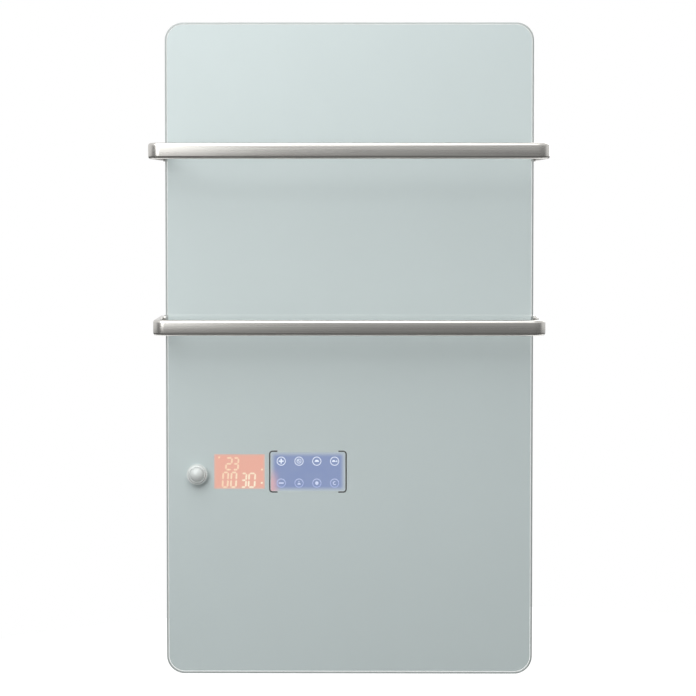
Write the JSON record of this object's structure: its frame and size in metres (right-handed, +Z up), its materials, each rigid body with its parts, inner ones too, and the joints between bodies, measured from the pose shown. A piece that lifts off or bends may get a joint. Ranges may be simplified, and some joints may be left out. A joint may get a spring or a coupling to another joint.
{
  "type": "heated towel rail",
  "caption": "Wall-hung radiant glass panel heater with two bent towel rails in front, touch keys, a lit display and a motion sensor.",
  "frame": {"origin": "middle of the wall bracket's four screw holes, on the wall plane", "axes": "+Z up, +X to the right seen from the front, +Y into the wall, so the glass faces -Y"},
  "size_m": [0.472, 0.158, 0.8],
  "materials": {
    "bond_frame": "zinc plated",
    "bond_pad": "silicone strip",
    "cable_gland": "white moulded plastic",
    "clamp_bar_lower": "zinc plated",
    "clamp_bar_middle": "zinc plated",
    "clamp_bar_upper": "zinc plated",
    "control_board": "green circuit board",
    "control_board_parts": "black moulded plastic",
    "control_housing": "white moulded plastic",
    "control_ribbon": "grey ribbon",
    "control_screws": "zinc plated",
    "display_cell": "lit display cell",
    "display_light": "light box",
    "earth_stud": "zinc plated",
    "earth_wire": "green wire",
    "enamel_coat": "pale fired enamel",
    "film_leads": "red wire",
    "gland_nut": "white moulded plastic",
    "glass_front": "polished toughened glass",
    "heat_spreader": "mill finish",
    "heating_film": "amber printed film",
    "hook_plates": "zinc plated",
    "housing_tape": "foam tape",
    "insulation_board": "mineral board",
    "key_contacts": "soft rubber",
    "key_light_guide": "lit clear guide",
    "lower_rail": "satin brushed",
    "mains_rocker": "black rocker",
    "mains_wires": "brown wire",
    "power_board": "green circuit board",
    "power_capacitors": "sleeved cans",
    "power_fuse": "white moulded plastic",
    "power_housing": "white moulded plastic",
    "power_lid": "white moulded plastic",
    "power_relay": "blue relay case",
    "power_screws": "zinc plated",
    "power_transformer": "varnished core",
    "probe_clip": "white moulded plastic",
    "rail_block_lower_left": "satin brushed",
    "rail_block_lower_right": "satin brushed",
    "rail_block_upper_left": "satin brushed",
    "rail_block_upper_right": "satin brushed",
    "rail_end_plugs": "satin brushed",
    "rail_screws": "zinc plated",
    "rear_casing": "white powder coat",
    "reflector_foil": "bright foil",
    "room_probe": "coated probe",
    "sensor_board": "green circuit board",
    "sensor_collar": "white moulded collar",
    "sensor_element": "metal can",
    "sensor_lead": "white wire",
    "sensor_lens": "milky lens",
    "sensor_nut": "white moulded plastic",
    "side_screws": "zinc plated",
    "switch_body": "black moulded plastic",
    "terminal_block": "cream moulding",
    "thermal_cutouts": "pressed steel cans",
    "upper_rail": "satin brushed",
    "wall_bracket": "zinc plated",
    "wall_bumpers": "soft rubber"
  },
  "bodies": {
    "wall_mount": {"wall_bracket": "wall_bracket"},
    "heater": {"bond_frame": "bond_frame", "bond_pad": "bond_pad", "cable_gland": "cable_gland", "clamp_bar_lower": "clamp_bar_lower", "clamp_bar_middle": "clamp_bar_middle", "clamp_bar_upper": "clamp_bar_upper", "control_board": "control_board", "control_board_parts": "control_board_parts", "control_housing": "control_housing", "control_ribbon": "control_ribbon", "control_screws": "control_screws", "display_cell": "display_cell", "display_light": "display_light", "earth_stud": "earth_stud", "earth_wire": "earth_wire", "enamel_coat": "enamel_coat", "film_leads": "film_leads", "gland_nut": "gland_nut", "glass_front": "glass_front", "heat_spreader": "heat_spreader", "heating_film": "heating_film", "hook_plates": "hook_plates", "housing_tape": "housing_tape", "insulation_board": "insulation_board", "key_contacts": "key_contacts", "key_light_guide": "key_light_guide", "lower_rail": "lower_rail", "mains_wires": "mains_wires", "power_board": "power_board", "power_capacitors": "power_capacitors", "power_fuse": "power_fuse", "power_housing": "power_housing", "power_lid": "power_lid", "power_relay": "power_relay", "power_screws": "power_screws", "power_transformer": "power_transformer", "probe_clip": "probe_clip", "rail_block_lower_left": "rail_block_lower_left", "rail_block_lower_right": "rail_block_lower_right", "rail_block_upper_left": "rail_block_upper_left", "rail_block_upper_right": "rail_block_upper_right", "rail_end_plugs": "rail_end_plugs", "rail_screws": "rail_screws", "rear_casing": "rear_casing", "reflector_foil": "reflector_foil", "room_probe": "room_probe", "sensor_board": "sensor_board", "sensor_collar": "sensor_collar", "sensor_element": "sensor_element", "sensor_lead": "sensor_lead", "sensor_lens": "sensor_lens", "sensor_nut": "sensor_nut", "side_screws": "side_screws", "switch_body": "switch_body", "terminal_block": "terminal_block", "thermal_cutouts": "thermal_cutouts", "upper_rail": "upper_rail", "wall_bumpers": "wall_bumpers"},
    "rocker": {"mains_rocker": "mains_rocker"}
  },
  "joints": [
    {"name": "lift_off", "type": "slide", "parent": "wall_mount", "child": "heater", "axis": [0, 0, 1], "range_m": [0, 0.015]},
    {"name": "rocker_pivot", "type": "hinge", "parent": "heater", "child": "rocker", "pos_m": [0.212, -0.0238, -0.3], "axis": [0, 1, 0], "range_deg": [0, 18]}
  ]
}
